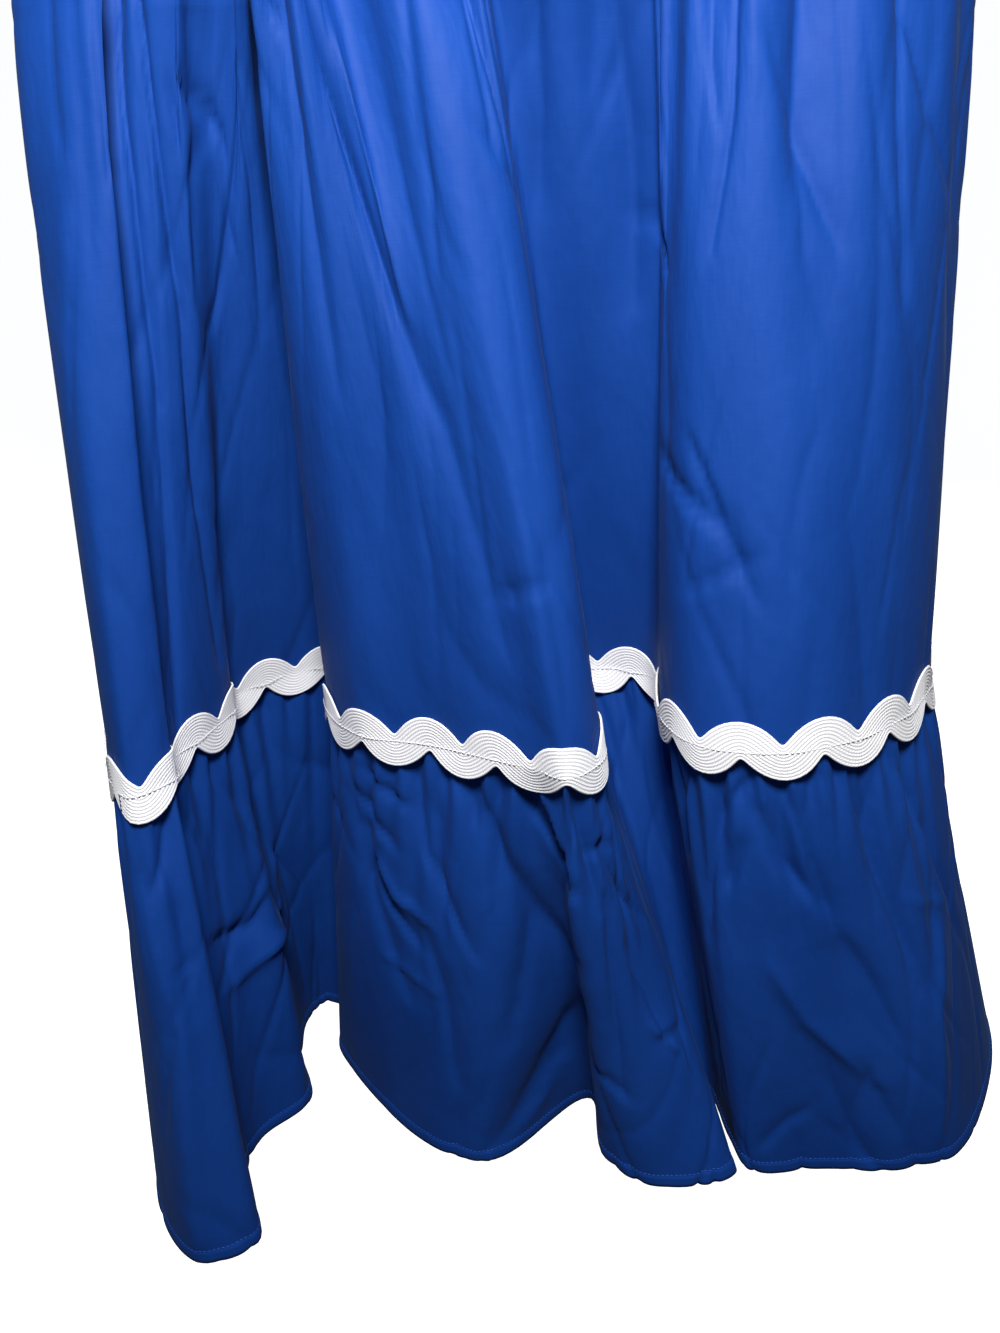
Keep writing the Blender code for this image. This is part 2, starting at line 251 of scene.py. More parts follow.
UPPER_CREASES = {
    # name, then where it starts, bends and ends (along the seam, down from the waist), half width, depth
    "front": (
        ("left_side_line", 124, 20, 124, 80, 126, 112, 3, 1.8),
        ("left_strip_line", 145, 20, 148, 90, 150, 126, 2.5, 1.6),
        ("left_edge_line", 178, 20, 195, 125, 202, 228, 3, 3),
        ("left_edge_foot", 202, 228, 198, 318, 188, 436, 3, 2.4),
        ("left_tuck_line", 200, 20, 216, 98, 230, 187, 3, 3.5),
        ("left_tuck_foot", 230, 187, 228, 276, 236, 400, 4, 3.5),
        ("step_thin", 246, 25, 243, 57, 242, 95, 2.5, 1.2),
        ("step_crease", 228, 86, 235, 98, 243, 112, 3, 1.8),
        ("step_crease_high", 243, 78, 252, 86, 262, 95, 3, 1.8),
        ("step_trough", 254, 20, 260, 90, 282, 112, 4, 3.5),
        ("step_line", 257, 97, 252, 137, 250, 180, 2.5, 1.8),
        ("flank_line", 304, 25, 310, 80, 264, 190, 3, 2.2),
        ("middle_edge_line", 312, 90, 320, 131, 318, 196, 3, 2.5),
        ("middle_top_crease", 452, 52, 466, 61, 480, 68, 3, 1.8),
        ("middle_soft_line", 478, 20, 492, 120, 500, 230, 6, 2.5),
        ("deep_left", 528, 20, 552, 100, 568, 187, 6, 5),
        ("deep_left_foot", 568, 187, 588, 250, 600, 372, 8, 3),
        ("deep_right", 564, 80, 576, 140, 580, 196, 4, -2.5),
        ("thin_line", 628, 30, 618, 110, 606, 180, 2.5, 1.3),
        ("front_line", 658, 30, 655, 85, 654, 124, 3, 2),
        ("front_branch", 644, 114, 660, 132, 678, 150, 3, 2),
        ("corner_line", 658, 25, 666, 90, 674, 130, 3, 2.5),
        ("recess_line_1", 796, 30, 792, 105, 786, 150, 3, 2.2),
        ("recess_line_2", 821, 30, 818, 80, 815, 108, 3, 1.5),
        ("recess_trough", 824, 25, 833, 120, 830, 200, 6, 4),
        ("recess_diagonal", 832, 158, 860, 172, 888, 186, 3, 2.2),
        ("right_small", 933, 40, 938, 97, 945, 120, 3, 1.5),
        ("right_thin", 968, 30, 960, 115, 942, 176, 3, 2),
        ("right_hollow", 1014, 30, 1004, 99, 1002, 150, 10, 5),
        ("right_diagonal", 985, 85, 1002, 133, 1025, 182, 3.5, 2.8),
        ("right_edge_line", 1071, 40, 1062, 129, 1066, 206, 3, 2),
        ("right_edge_branch", 1066, 75, 1082, 117, 1105, 156, 3.5, 2.8),
        ("recess_corner", 885, 280, 950, 314, 972, 355, 4, 2.8),
        ("recess_corner_high", 926, 266, 938, 286, 952, 310, 3, 2),
        ("cross_left", 600, 342, 618, 336, 640, 332, 3, 1.6),
        ("cross_right", 925, 352, 950, 340, 978, 329, 3.5, 1.6),
    ),
    "back": (
        ("right_edge_line", 60, 20, 66, 120, 58, 230, 3, 2),
        ("right_tuck_line", 108, 20, 116, 110, 128, 260, 4, 3),
        ("right_front_line", 138, 20, 141, 80, 150, 150, 3, 1.8),
        ("right_foot_line", 120, 300, 126, 360, 132, 436, 3.5, 2.5),
        ("dip_1_line", 190, 20, 196, 120, 204, 260, 4, 3.5),
        ("dip_1_crease", 214, 90, 236, 110, 262, 128, 3, 2),
        ("centre_left_line", 322, 20, 330, 110, 336, 240, 3, 2.5),
        ("centre_small", 350, 30, 354, 70, 352, 118, 3, 1.5),
        ("centre_long", 378, 20, 384, 160, 376, 330, 5, 4),
        ("centre_ridge", 396, 60, 402, 150, 398, 260, 4, -2.5),
        ("centre_branch", 384, 150, 404, 176, 418, 198, 3, 1.8),
        ("centre_right_line", 438, 20, 440, 90, 434, 170, 3, 2.2),
        ("dip_2_line", 470, 20, 478, 130, 482, 280, 4, 3.5),
        ("dip_2_crease", 500, 110, 524, 128, 552, 138, 3, 2),
        ("left_edge_line", 604, 20, 612, 140, 618, 300, 3.5, 3),
        ("left_front_line", 650, 20, 658, 90, 655, 160, 3, 1.8),
        ("left_long", 690, 20, 700, 150, 688, 340, 5, 3.5),
        ("left_cross", 640, 352, 668, 344, 700, 350, 3, 1.6),
        ("left_soft_line", 742, 30, 744, 110, 738, 210, 3, 2.2),
        ("left_dip_line", 780, 20, 784, 140, 780, 300, 4, 3),
        ("left_corner_line", 846, 20, 852, 110, 848, 220, 3, 2.5),
        ("left_turn_line", 900, 30, 906, 120, 914, 240, 3.5, 2.5),
        ("left_side_crease", 930, 90, 948, 116, 966, 150, 3, 2),
    ),
}


def cotton_cloth():
    """Royal blue plain-woven cotton: fine uneven threads, a faint tone that varies at random in long
    streaks, a soft sheen.
    """
    material = bpy.data.materials.new("royal_blue_cotton")
    material.use_nodes = True
    nodes, links = material.node_tree.nodes, material.node_tree.links
    shader = nodes["Principled BSDF"]
    shader.inputs["Roughness"].default_value = 0.62
    shader.inputs["Specular IOR Level"].default_value = 0.14
    shader.inputs["Sheen Weight"].default_value = 0.03
    shader.inputs["Sheen Roughness"].default_value = 0.4
    shader.inputs["Sheen Tint"].default_value = (0.35, 0.55, 1.0, 1)
    place = nodes.new("ShaderNodeUVMap")
    place.uv_map = "cloth"

    def threads(name, across, down, detail):
        stretch = nodes.new("ShaderNodeMapping")
        stretch.inputs["Scale"].default_value = (across, down, 1)
        noise = nodes.new("ShaderNodeTexNoise")
        noise.name = name
        noise.inputs["Scale"].default_value = 1
        noise.inputs["Detail"].default_value = detail
        links.new(place.outputs["UV"], stretch.inputs["Vector"])
        links.new(stretch.outputs["Vector"], noise.inputs["Vector"])
        return noise

    warp = threads("warp", 1400, 60, 2)
    weft = threads("weft", 60, 1400, 2)
    crumple = threads("crumple", 38, 16, 3)
    pressed = threads("pressed creases", 27, 11, 3)
    pressed.noise_type = "RIDGED_MULTIFRACTAL"
    tone = threads("tone", 14, 5, 2)
    woven = nodes.new("ShaderNodeMath")
    woven.operation = "ADD"
    links.new(warp.outputs["Fac"], woven.inputs[0])
    links.new(weft.outputs["Fac"], woven.inputs[1])
    weave = nodes.new("ShaderNodeBump")
    weave.inputs["Strength"].default_value = 0.18
    weave.inputs["Distance"].default_value = 0.0002
    links.new(woven.outputs["Value"], weave.inputs["Height"])
    soft = nodes.new("ShaderNodeBump")
    soft.inputs["Strength"].default_value = 0.7
    soft.inputs["Distance"].default_value = 0.0030
    links.new(crumple.outputs["Fac"], soft.inputs["Height"])
    links.new(weave.outputs["Normal"], soft.inputs["Normal"])
    sharp = nodes.new("ShaderNodeBump")
    sharp.inputs["Strength"].default_value = 0.6
    sharp.inputs["Distance"].default_value = 0.0022
    links.new(pressed.outputs["Fac"], sharp.inputs["Height"])
    links.new(soft.outputs["Normal"], sharp.inputs["Normal"])
    links.new(sharp.outputs["Normal"], shader.inputs["Normal"])
    mixed = nodes.new("ShaderNodeMath")
    mixed.operation = "MULTIPLY_ADD"
    mixed.inputs[1].default_value = 0.35
    links.new(woven.outputs["Value"], mixed.inputs[0])
    links.new(tone.outputs["Fac"], mixed.inputs[2])
    dye = nodes.new("ShaderNodeValToRGB")
    dye.color_ramp.elements[0].position = 0.5
    dye.color_ramp.elements[0].color = (0.0028, 0.035, 0.205, 1)
    dye.color_ramp.elements[1].position = 1.0
    dye.color_ramp.elements[1].color = (0.0052, 0.046, 0.255, 1)
    links.new(mixed.outputs["Value"], dye.inputs["Fac"])
    links.new(dye.outputs["Color"], shader.inputs["Base Color"])
    return material


def cloth_piece(name, points, cloth, thick, material):
    """A panel of cloth: a flat grid bent onto its rows of points, top row first, then given thickness.
    The cloth array says where each point lies on the flat cloth, for the weave."""
    rows, columns = points.shape[0], points.shape[1]
    bm = bmesh.new()
    weave = bm.loops.layers.uv.new("cloth")
    bmesh.ops.create_grid(bm, x_segments=columns - 1, y_segments=rows - 1, size=0.5)
    flat, lay = points[::-1].reshape(-1, 3), cloth[::-1].reshape(-1, 2)
    for vertex, point in zip(bm.verts, flat):
        vertex.co = point
    for face in bm.faces:
        face.smooth = True
        for loop in face.loops:
            loop[weave].uv = lay[loop.vert.index]
    mesh = bpy.data.meshes.new(name)
    bm.to_mesh(mesh)
    bm.free()
    mesh.materials.append(material)
    piece = bpy.data.objects.new(name, mesh)
    bpy.context.scene.collection.objects.link(piece)
    wall = piece.modifiers.new("cloth thickness", "SOLIDIFY")
    wall.thickness = thick
    wall.offset = -1
    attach(piece, "root")
    return piece


def panel_points(side, z_rows, along, drawn_in):
    """Rows of points over a tier, drawn in by the gathers and creases at each place."""
    points = np.zeros((len(z_rows), len(along), 3))
    for row, z in enumerate(z_rows):
        line, out = panel_line(z, side, along)
        points[row, :, :2] = line - out * drawn_in[row][:, None]
        points[row, :, 2] = z
    return points


cotton = cotton_cloth()
UPPER_RUMPLE, UPPER_CRUMPLE = 0.00035, 0.0018
for side in ("front", "back"):
    length = seam_length(side)
    along = np.linspace(0, length, PANEL_COLUMNS[side])
    down = np.concatenate([np.linspace(0.0003, 0.06, 18), np.linspace(0.065, 0.4428, 73)])
    drawn = waist_gathered(along[None], down[:, None], side)
    drawn = drawn + creased(along[None], down[:, None], UPPER_CREASES[side])
    drawn = drawn + rumpled(along[None], down[:, None], UPPER_RUMPLE)
    drawn = drawn + crumpled(along[None], down[:, None], side, UPPER_CRUMPLE)
    drawn = drawn * held_at_sides(along, side)
    points = panel_points(side, WAIST_Z - down, along, drawn)
    cloth = np.stack(np.broadcast_arrays(along[None], -down[:, None]), axis=2)
    tier = cloth_piece(f"upper_tier_{side}_cloth", points, cloth, CLOTH_THICK, cotton)
    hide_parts(f"upper_tier_{side}")

# The bottom tier: two wider panels of the same cotton, gathered evenly onto the foot of the upper tier,
# joined at the sides and finished with a narrow hem turned up twice and stitched near its fold.
LOWER_CREASES = {
    # as above, but down from the braid's seam
    "front": (
        ("left_corner", 122, 69, 130, 170, 122, 341, 6, -3.5),
        ("left_gather_1", 134, 20, 133, 36, 132, 54, 3, 2),
        ("left_gather_2", 145, 18, 136, 46, 125, 68, 3, 2.5),
        ("left_thin", 140, 80, 143, 112, 150, 150, 2.5, 1.5),
        ("left_nick", 134, 126, 138, 124, 144, 122, 2.5, 1.5),
        ("flank_trough", 214, 30, 238, 73, 248, 116, 4, 2.5),
        ("flank_ridge", 284, 148, 270, 190, 206, 200, 7, -4),
        ("flank_hollow", 246, 152, 228, 166, 190, 150, 6, 3.5),
        ("flank_line", 288, 144, 298, 205, 314, 330, 3, 2.5),
        ("flank_gather", 192, 28, 189, 56, 196, 78, 3, 2),
        ("middle_flank", 470, 55, 486, 123, 518, 216, 7, 3.5),
        ("middle_line_1", 520, 22, 530, 85, 564, 157, 3.5, 3),
        ("middle_line_2", 480, 30, 500, 42, 518, 50, 3, 2.5),
        ("middle_line_3", 470, 48, 490, 71, 510, 90, 3.5, 2.5),
        ("middle_line_4", 480, 80, 500, 136, 526, 168, 3.5, 3),
        ("middle_ridge", 486, 90, 510, 128, 534, 142, 4, -2.5),
        ("middle_nick", 500, 190, 518, 197, 538, 204, 3, -1.5),
        ("middle_gather", 548, 20, 558, 37, 564, 55, 3, 2),
        ("middle_diagonal", 564, 24, 592, 100, 616, 190, 6, 5),
        ("middle_valley_line", 590, 14, 610, 58, 628, 90, 3.5, 3.5),
        ("middle_rim", 608, 20, 627, 75, 628, 146, 3, -3),
        ("middle_fall", 598, 126, 590, 183, 584, 242, 3.5, 2.5),
        ("middle_to_hem", 620, 203, 598, 271, 580, 343, 7, 4.5),
        ("middle_hem_ridge", 600, 294, 594, 319, 587, 338, 3.5, -2.5),
        ("middle_straight", 536, 38, 540, 94, 548, 160, 3.5, 2),
        ("middle_soft_line", 530, 148, 546, 205, 555, 280, 5, 2.5),
        ("swell_line_1", 630, 15, 637, 55, 645, 108, 3, 3),
        ("swell_line_2", 650, 55, 670, 99, 708, 143, 3.5, 3),
        ("swell_line_3", 650, 96, 649, 170, 648, 270, 3.5, 3),
        ("swell_line_4", 666, 140, 682, 182, 693, 228, 3, 2.5),
        ("swell_cross", 686, 226, 700, 229, 716, 230, 4, 2.5),
        ("swell_ridge", 680, 214, 706, 245, 711, 288, 4, -2.5),
        ("swell_small_1", 628, 262, 640, 264, 653, 276, 3.5, 2),
        ("swell_small_2", 640, 60, 652, 58, 664, 62, 3, 2),
        ("swell_small_3", 672, 28, 690, 60, 704, 100, 3, 2),
        ("pocket_line_1", 886, 28, 850, 70, 828, 130, 3.5, 2.5),
        ("pocket_line_2", 920, 18, 910, 50, 902, 95, 3.5, 3),
        ("pocket_line_3", 948, 12, 938, 62, 916, 150, 3, 2.5),
        ("right_gather_1", 966, 18, 952, 35, 942, 56, 3, 2.5),
        ("right_gather_2", 956, 64, 948, 89, 941, 105, 4, 2.8),
        ("right_band", 965, 38, 974, 80, 998, 122, 6, 4),
        ("right_line_1", 982, 18, 990, 65, 1000, 132, 3, 2.5),
        ("right_gather_3", 984, 4, 994, 12, 1005, 20, 3.5, 2.5),
        ("right_line_2", 1026, 24, 1033, 90, 1055, 200, 3, 3.5),
        ("right_fold_edge", 1060, 22, 1086, 90, 1116, 194, 3, 3.5),
        ("right_nick", 1056, 124, 1076, 136, 1100, 150, 3, -1.5),
        ("right_rise", 960, 160, 975, 210, 1012, 270, 7, -3.5),
        ("right_foot_1", 982, 258, 992, 319, 1003, 351, 3.5, 2),
        ("right_foot_2", 1004, 246, 1012, 275, 1023, 322, 3.5, 2),
        ("right_foot_3", 940, 333, 954, 312, 969, 297, 3.5, 2),
        ("right_corner_ridge", 1082, 162, 1066, 225, 1054, 337, 7, -3.5),
        ("right_broad", 1004, 140, 1022, 190, 1036, 245, 9, 4),
    ),
    "back": (
        ("right_gather_1", 60, 16, 62, 48, 58, 86, 3, 2.2),
        ("right_gather_2", 84, 18, 92, 60, 96, 120, 3.5, 3),
        ("right_long", 128, 22, 136, 120, 132, 250, 5, 4),
        ("right_ridge", 150, 80, 156, 180, 150, 300, 6, -3),
        ("right_small", 172, 18, 178, 44, 190, 72, 3, 2.2),
        ("dip_1_long", 200, 24, 206, 130, 200, 300, 5, 4),
        ("dip_1_cross", 216, 150, 240, 160, 268, 152, 5, 2.5),
        ("centre_gather_1", 318, 16, 322, 52, 316, 92, 3, 2.5),
        ("centre_gather_2", 340, 20, 346, 80, 356, 150, 3.5, 3),
        ("centre_long", 372, 22, 382, 130, 392, 280, 6, 4.5),
        ("centre_ridge", 392, 110, 404, 200, 412, 310, 6, -3.5),
        ("centre_gather_3", 410, 16, 404, 50, 408, 90, 3, 2.5),
        ("centre_soft", 430, 22, 438, 90, 434, 180, 4, 3),
        ("centre_foot", 396, 270, 404, 310, 400, 348, 4, 2.5),
        ("dip_2_long", 478, 26, 484, 140, 478, 310, 5, 4),
        ("dip_2_cross", 500, 180, 528, 170, 556, 182, 5, 2.5),
        ("left_gather_1", 598, 16, 602, 50, 596, 88, 3, 2.5),
        ("left_gather_2", 622, 20, 630, 80, 642, 150, 3.5, 3),
        ("left_long", 664, 22, 672, 140, 668, 290, 6, 4.5),
        ("left_ridge", 690, 60, 700, 170, 694, 300, 6, -3.5),
        ("left_branch", 672, 150, 690, 176, 704, 204, 3, 2),
        ("left_gather_3", 716, 16, 712, 56, 718, 96, 3, 2.5),
        ("left_soft", 738, 24, 744, 100, 736, 200, 4, 3),
        ("left_dip_long", 782, 24, 788, 130, 784, 280, 5, 3.5),
        ("left_corner", 842, 20, 850, 110, 846, 230, 4, 3),
        ("left_corner_ridge", 868, 80, 876, 190, 870, 320, 6, -3),
        ("left_turn", 906, 20, 914, 90, 922, 170, 3.5, 2.5),
        ("left_side", 944, 18, 950, 56, 962, 104, 3, 2.2),
    ),
}


BRAID_GATHER_DEPTH, BRAID_PLEAT_DEPTH = 0.0062, 0.0026


def braid_gathered(along, down, side):
    """How far the gathers below the braid draw the cloth in."""
    column = along / seam_length(side) * GATHER_COLUMNS[side]
    k = np.floor(column / 2)
    fade = 1 - smoothstep(down / uneven(k, 0.07, 0.26))
    depth = BRAID_GATHER_DEPTH * uneven(k + 5, 0.6, 1.0) * fade
    last = np.minimum(along, seam_length(side) - along)
    depth = depth * smoothstep(last / 0.02)
    fine = 0.5 - 0.5 * np.cos(2 * math.pi * column + k)
    fine = BRAID_PLEAT_DEPTH * fine * (1 - smoothstep(down / 0.05))
    return depth * (0.5 - 0.5 * np.cos(math.pi * column)) + fine


def stitched(name, path, out, lift, size, pitch, material):
    """A row of machine stitches along a line of points: short pieces of thread, a pitch apart, lifted off
    the cloth along its outward directions."""
    length, width = size
    reach = np.concatenate([[0], np.cumsum(np.linalg.norm(np.diff(path, axis=0), axis=1))])
    bm = bmesh.new()
    for at in np.arange(pitch, reach[-1] - pitch, pitch):
        face = Vector([np.interp(at, reach, out[:, k]) for k in range(3)])
        place = Vector([np.interp(at, reach, path[:, k]) for k in range(3)]) + lift * face
        ahead = Vector([np.interp(at + length / 2, reach, path[:, k]) for k in range(3)])
        behind = Vector([np.interp(at - length / 2, reach, path[:, k]) for k in range(3)])
        run = (ahead - behind).normalized()
        side = face.cross(run).normalized()
        turn = Matrix((run, side, run.cross(side))).transposed().to_4x4()
        turn.translation = place
        thread = bmesh.ops.create_cube(bm, size=1)["verts"]
        for vertex in thread:
            slim = 0.6 if vertex.co.z > 0 else 1
            vertex.co = (vertex.co.x * length * slim, vertex.co.y * width * slim, vertex.co.z * width)
        bmesh.ops.transform(bm, matrix=turn, verts=thread)
    mesh = bpy.data.meshes.new(name)
    bm.to_mesh(mesh)
    bm.free()
    mesh.materials.append(material)
    row = bpy.data.objects.new(name, mesh)
    bpy.context.scene.collection.objects.link(row)
    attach(row, "root")
    return row


def thread_material(name, colour, sheen_colour):
    """Sewing thread: plied, a little shinier than the cloth."""
    material = bpy.data.materials.new(name)
    material.use_nodes = True
    nodes, links = material.node_tree.nodes, material.node_tree.links
    shader = nodes["Principled BSDF"]
    shader.inputs["Roughness"].default_value = 0.42
    place = nodes.new("ShaderNodeTexCoord")
    ply = nodes.new("ShaderNodeTexNoise")
    ply.inputs["Scale"].default_value = 900
    tint = nodes.new("ShaderNodeValToRGB")
    tint.color_ramp.elements[0].color = (*colour, 1)
    tint.color_ramp.elements[1].color = (*sheen_colour, 1)
    links.new(place.outputs["Object"], ply.inputs["Vector"])
    links.new(ply.outputs["Fac"], tint.inputs["Fac"])
    links.new(tint.outputs["Color"], shader.inputs["Base Color"])
    return material


blue_thread = thread_material("blue_thread", (0.006, 0.045, 0.27), (0.016, 0.10, 0.48))
# Rows of points: even ones down to the stitches, then close ones over the step of the turned hem.
HEM_STITCH_ROW = 84
HEM_ROWS = (0.3465, 0.3475, 0.3482, 0.350, 0.354, 0.357)
HEM_TOP, HEM_STEP, THREAD_LIFT = 0.3475, 0.0007, 0.0001
STITCH, STITCH_PITCH = (0.0024, 0.0005), 0.0032
LOWER_RUMPLE, LOWER_CRUMPLE = 0.0005, 0.0028
for side in ("front", "back"):
    length = seam_length(side)
    along = np.linspace(0, length, PANEL_COLUMNS[side])
    down = np.concatenate([np.linspace(0.0002, 0.3445, HEM_STITCH_ROW), HEM_ROWS])
    drawn = braid_gathered(along[None], down[:, None], side)
    drawn = drawn + creased(along[None], down[:, None], LOWER_CREASES[side])
    drawn = drawn + rumpled(along[None], down[:, None], LOWER_RUMPLE)
    drawn = drawn + crumpled(along[None], down[:, None], side, LOWER_CRUMPLE)
    drawn = drawn * held_at_sides(along, side)
    drawn = drawn - HEM_STEP * smoothstep((down[:, None] - HEM_TOP) / 0.001)
    points = panel_points(side, SEAM_Z - down, along, drawn)
    cloth = np.stack(np.broadcast_arrays(along[None], 2 - down[:, None]), axis=2)
    tier = cloth_piece(f"lower_tier_{side}_cloth", points, cloth, CLOTH_THICK, cotton)
    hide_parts(f"lower_tier_{side}")
    _, out = panel_line(SEAM_Z - down[HEM_STITCH_ROW], side, along)
    out = np.column_stack([out, np.zeros(len(out))])
    label = f"hem_stitches_{side}"
    hem = points[HEM_STITCH_ROW]
    sewn = stitched(label, hem, out, THREAD_LIFT, STITCH, STITCH_PITCH, blue_thread)

# The ric-rac: a broad white woven braid in waves, of fine parallel cords, laid over the seam between
# the tiers and sewn down with one straight line of stitches along its middle.
BRAID_SWING, BRAID_HALF_WIDTH, BRAID_CORDS, BRAID_THICK = 0.0070, 0.0120, 11, 0.0008
# How far along the first trough lies, in columns, and how much the cords lean with the wave.
FIRST_TROUGH, CORD_LEAN = 3.6, 0.42
BRAID_LIFT, CORD_HEIGHT, SEAM_THREAD_LIFT = 0.0012, 0.0005, 0.0003


def braid_material():
    """White woven braid: faintly twisted cords, with painted shade that greys the grooves between them."""
    material = bpy.data.materials.new("white_braid")
    material.use_nodes = True
    nodes, links = material.node_tree.nodes, material.node_tree.links
    shader = nodes["Principled BSDF"]
    shader.inputs["Roughness"].default_value = 0.7
    shader.inputs["Sheen Weight"].default_value = 0.2
    place = nodes.new("ShaderNodeUVMap")
    place.uv_map = "cloth"
    turn = nodes.new("ShaderNodeMapping")
    turn.inputs["Rotation"].default_value = (0, 0, 0.7)
    turn.inputs["Scale"].default_value = (1, 1, 1)
    twist = nodes.new("ShaderNodeTexWave")
    twist.inputs["Scale"].default_value = 260
    twist.inputs["Distortion"].default_value = 1.5
    links.new(place.outputs["UV"], turn.inputs["Vector"])
    links.new(turn.outputs["Vector"], twist.inputs["Vector"])
    raised = nodes.new("ShaderNodeBump")
    raised.inputs["Strength"].default_value = 0.35
    raised.inputs["Distance"].default_value = 0.0002
    links.new(twist.outputs["Fac"], raised.inputs["Height"])
    links.new(raised.outputs["Normal"], shader.inputs["Normal"])
    # Painted shade: the wave that raises the twist also sets the colour. The grey at its low end is painted
    # shade in the grooves, and the white at its high end is the braid's own colour.
    painted_groove_shade = nodes.new("ShaderNodeValToRGB")
    painted_groove_shade.color_ramp.elements[0].color = (0.78, 0.77, 0.80, 1)
    painted_groove_shade.color_ramp.elements[1].color = (0.93, 0.92, 0.94, 1)
    links.new(twist.outputs["Fac"], painted_groove_shade.inputs["Fac"])
    links.new(painted_groove_shade.outputs["Color"], shader.inputs["Base Color"])
    return material


white = braid_material()
white_thread = thread_material("white_thread", (0.62, 0.61, 0.66), (0.86, 0.85, 0.88))
for side in ("front", "back"):
    length = seam_length(side)
    waves = BRAID_WAVES[side]
    turn = 2 * math.pi * waves / length
    centre = np.linspace(0.0004, length - 0.0004, waves * 18 + 1)
    phase = turn * centre - 2 * math.pi * FIRST_TROUGH / COLUMNS_A_WAVE
    across = np.linspace(1, -1, BRAID_CORDS * 4 + 1)
    points = np.zeros((len(across), len(centre), 3))
    cloth = np.zeros((len(across), len(centre), 2))
    for row, t in enumerate(across):
        offset = t * BRAID_HALF_WIDTH
        slope = BRAID_SWING * turn * np.sin(phase)
        shifted = np.clip(centre - CORD_LEAN * offset * slope, 0.0004, length - 0.0004)
        height = SEAM_Z - BRAID_SWING * np.cos(phase) + offset
        cord = abs(math.sin(math.pi * (t + 1) / 2 * BRAID_CORDS))
        lift = BRAID_LIFT + CORD_HEIGHT * cord - 0.0004 * smoothstep((abs(t) - 0.93) / 0.07)
        points[row, :, 2] = height
        cloth[row, :, 0], cloth[row, :, 1] = centre, offset
        points[row, :, 0], points[row, :, 1] = shifted, lift
    # Each point is taken from its place on the seam's flat cloth to the panel at that height.
    levels = np.linspace(SEAM_Z - 0.021, SEAM_Z + 0.021, 15)
    fine = np.linspace(0.0004, length - 0.0004, 1400)
    lines = [panel_line(z, side, fine) for z in levels]
    for row in range(len(across)):
        step = (points[row, :, 2] - levels[0]) / (levels[1] - levels[0])
        low = np.clip(np.floor(step).astype(int), 0, len(levels) - 2)
        share = (step - low)[:, None]
        at = points[row, :, 0]
        place, out = np.zeros((len(centre), 2)), np.zeros((len(centre), 2))
        for level in range(len(levels) - 1):
            here = low == level
            if not here.any():
                continue
            for target, which in ((place, 0), (out, 1)):
                below, above = lines[level][which], lines[level + 1][which]
                for k in range(2):
                    a = np.interp(at[here], fine, below[:, k])
                    b = np.interp(at[here], fine, above[:, k])
                    target[here, k] = a * (1 - share[here, 0]) + b * share[here, 0]
        points[row, :, :2] = place + out * points[row, :, 1][:, None]
    band = cloth_piece(f"ricrac_{side}_braid", points, cloth, BRAID_THICK, white)
    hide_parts(f"ricrac_{side}")
    middle = points[len(across) // 2]
    run = np.gradient(middle, axis=0)
    out = np.column_stack([run[:, 1], -run[:, 0], np.zeros(len(run))])
    out /= np.linalg.norm(out, axis=1)[:, None]
    seam = np.column_stack([middle[:, :2], np.full(len(middle), SEAM_Z)])
    label = f"ricrac_stitches_{side}"
    stitched(label, seam, out, SEAM_THREAD_LIFT, STITCH, STITCH_PITCH, white_thread)

# The bodice: a plain sleeveless front and back in the same cotton, joined at the shoulders and sides,
# with a scooped neck, and turned edges at the neck and armholes.
NECK_HALF_WIDTH, NECK_POINT_Z = 0.078, -0.004
NECK_DEPTH = {"front": 0.100, "back": 0.035}
SHOULDER_HALF_WIDTH, SHOULDER_TIP_Z = 0.150, -0.032
UNDERARM_HALF_WIDTH, UNDERARM_Z = 0.228, -0.205
CHEST_HALF_DEPTH, CHEST_Z = {"front": 0.116, "back": 0.104}, -0.250
NECK_SHARE, SHOULDER_SHARE = 0.32, 0.60
BODICE_SEAM_Y = 0.0001


def bodice_top(q, side):
    """The upper outline, from the neckline's middle (q = 0) over the shoulder to the underarm (1)."""
    if q <= NECK_SHARE:
        turn = math.pi / 2 * q / NECK_SHARE
        return NECK_HALF_WIDTH * math.sin(turn), NECK_POINT_Z - NECK_DEPTH[side] * math.cos(turn)
    if q <= SHOULDER_SHARE:
        t = (q - NECK_SHARE) / (SHOULDER_SHARE - NECK_SHARE)
        x = NECK_HALF_WIDTH + (SHOULDER_HALF_WIDTH - NECK_HALF_WIDTH) * t
        return x, NECK_POINT_Z + (SHOULDER_TIP_Z - NECK_POINT_Z) * t
    t = (q - SHOULDER_SHARE) / (1 - SHOULDER_SHARE)
    x = SHOULDER_HALF_WIDTH + (UNDERARM_HALF_WIDTH - SHOULDER_HALF_WIDTH) * float(smoothstep(t))
    return x, SHOULDER_TIP_Z + (UNDERARM_Z - SHOULDER_TIP_Z) * math.sin(math.pi / 2 * t)


def bodice_depth(x, z, side):
    """How far the bodice stands off the plane of its side and shoulder seams."""
    rise = smoothstep((z - WAIST_Z) / (CHEST_Z - WAIST_Z))
    fullness = WAIST_HALF_DEPTH + (CHEST_HALF_DEPTH[side] - WAIST_HALF_DEPTH) * rise
    widen = np.clip((z - WAIST_Z) / (UNDERARM_Z - WAIST_Z), 0, 1)
    half_width = WAIST_HALF_WIDTH + (UNDERARM_HALF_WIDTH - WAIST_HALF_WIDTH) * widen
    slope = (SHOULDER_TIP_Z - NECK_POINT_Z) / (SHOULDER_HALF_WIDTH - NECK_HALF_WIDTH)
    shoulder_z = NECK_POINT_Z + slope * max(0, abs(x) - NECK_HALF_WIDTH)
    below = min(max(shoulder_z - z, 0) / 0.100, 1)
    arch = math.sqrt(1 - (1 - below) ** 2)
    return BODICE_SEAM_Y + fullness * arch * math.sqrt(max(0, 1 - (x / half_width) ** 2))


